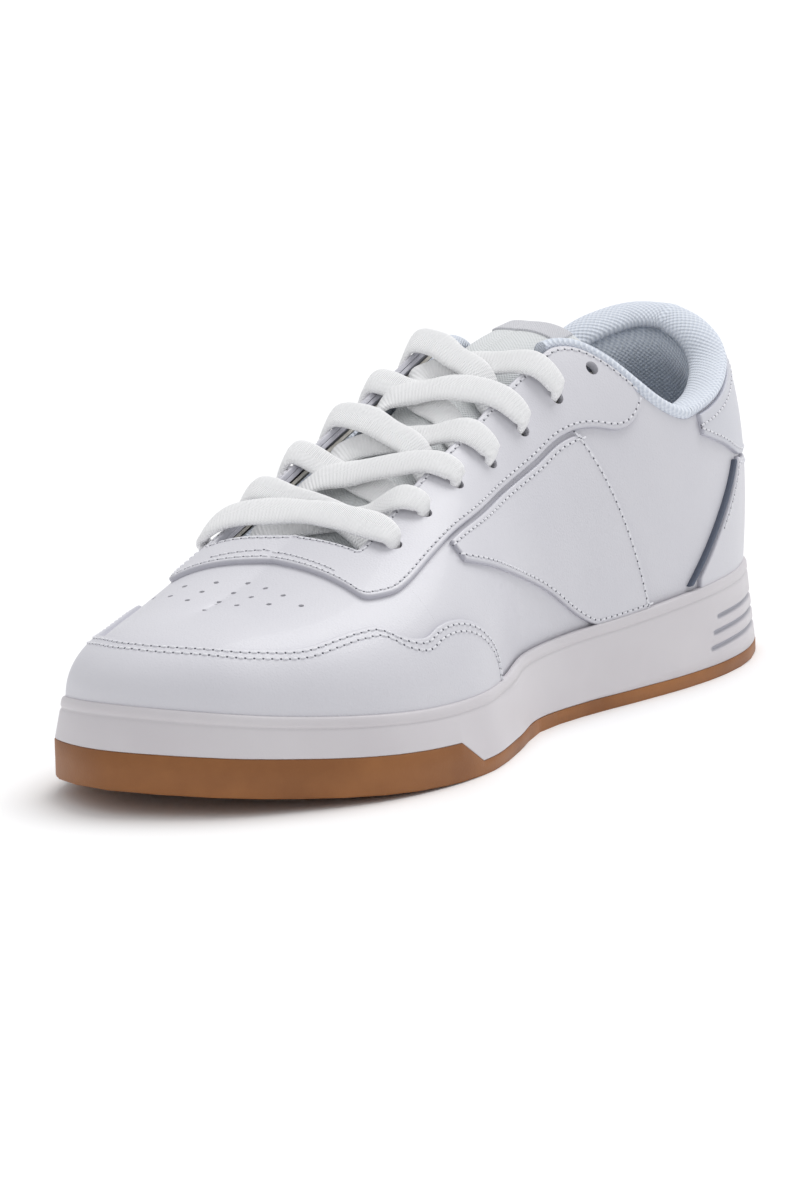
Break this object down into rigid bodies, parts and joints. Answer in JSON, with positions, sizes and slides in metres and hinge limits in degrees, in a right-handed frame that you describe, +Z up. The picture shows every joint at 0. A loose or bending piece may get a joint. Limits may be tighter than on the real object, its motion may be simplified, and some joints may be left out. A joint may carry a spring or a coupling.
{
  "type": "court shoe",
  "caption": "Low-top court shoe for racket sports with a leather upper, padded collar and tongue, flat lacing, white cupsole and gum outsole.",
  "frame": {"origin": "on the ground plane, midway between the back of the heel and the tip of the toe, on the sole's centre line", "axes": "+X towards the toe, +Y towards the lateral (outer) side of this left shoe, +Z up"},
  "size_m": [0.3, 0.1063, 0.1104],
  "materials": {
    "gum_rubber": "matte gum rubber",
    "white_rubber": "satin white rubber",
    "eva_foam": "closed-cell foam",
    "board": "fibre board",
    "white_leather": "smooth coated leather",
    "pale_leather": "smooth pale leather",
    "stiffener": "thermoplastic sheet",
    "knit_lining": "pale blue-grey knit mesh",
    "padding": "open-cell foam",
    "tongue_cloth": "pale grey-green cloth",
    "white_cord": "flat woven lace",
    "clear_tip": "clear film",
    "label_cloth": "plain woven label",
    "grey_piping": "slate grey synthetic leather"
  },
  "bodies": {
    "shoe": {"outsole": "gum_rubber", "cupsole": "white_rubber", "midsole": "eva_foam", "lasting_board": "board", "vamp": "white_leather", "quarter_lateral": "white_leather", "quarter_medial": "white_leather", "toe_puff": "stiffener", "heel_counter": "stiffener", "vamp_lining": "knit_lining", "quarter_lining": "knit_lining", "collar_foam": "padding", "collar_roll": "knit_lining", "mudguard": "white_leather", "eyestay": "white_leather", "eyestay_backing_lateral": "stiffener", "eyestay_backing_medial": "stiffener", "saddle_lateral": "white_leather", "saddle_medial": "white_leather", "heel_panel": "white_leather", "heel_tab": "pale_leather", "heel_piping_lateral": "grey_piping", "heel_piping_medial": "grey_piping", "lace": "white_cord", "aglet_lateral": "clear_tip", "aglet_medial": "clear_tip"},
    "tongue": {"tongue_face": "tongue_cloth", "tongue_foam": "padding", "tongue_lining": "knit_lining", "tongue_label": "label_cloth"},
    "sockliner": {"sockliner": "knit_lining"}
  },
  "joints": [
    {"name": "tongue_press", "type": "hinge", "parent": "shoe", "child": "tongue", "pos_m": [0.064, -0.011, 0.047], "axis": [0, -1, 0], "range_deg": [0, 8], "stiffness_Nm_per_rad": 1, "springref_deg": -2.86},
    {"name": "sockliner_lift", "type": "hinge", "parent": "shoe", "child": "sockliner", "pos_m": [0.136, -0.011, 0.025], "axis": [0, 1, 0], "range_deg": [0, 6]}
  ]
}
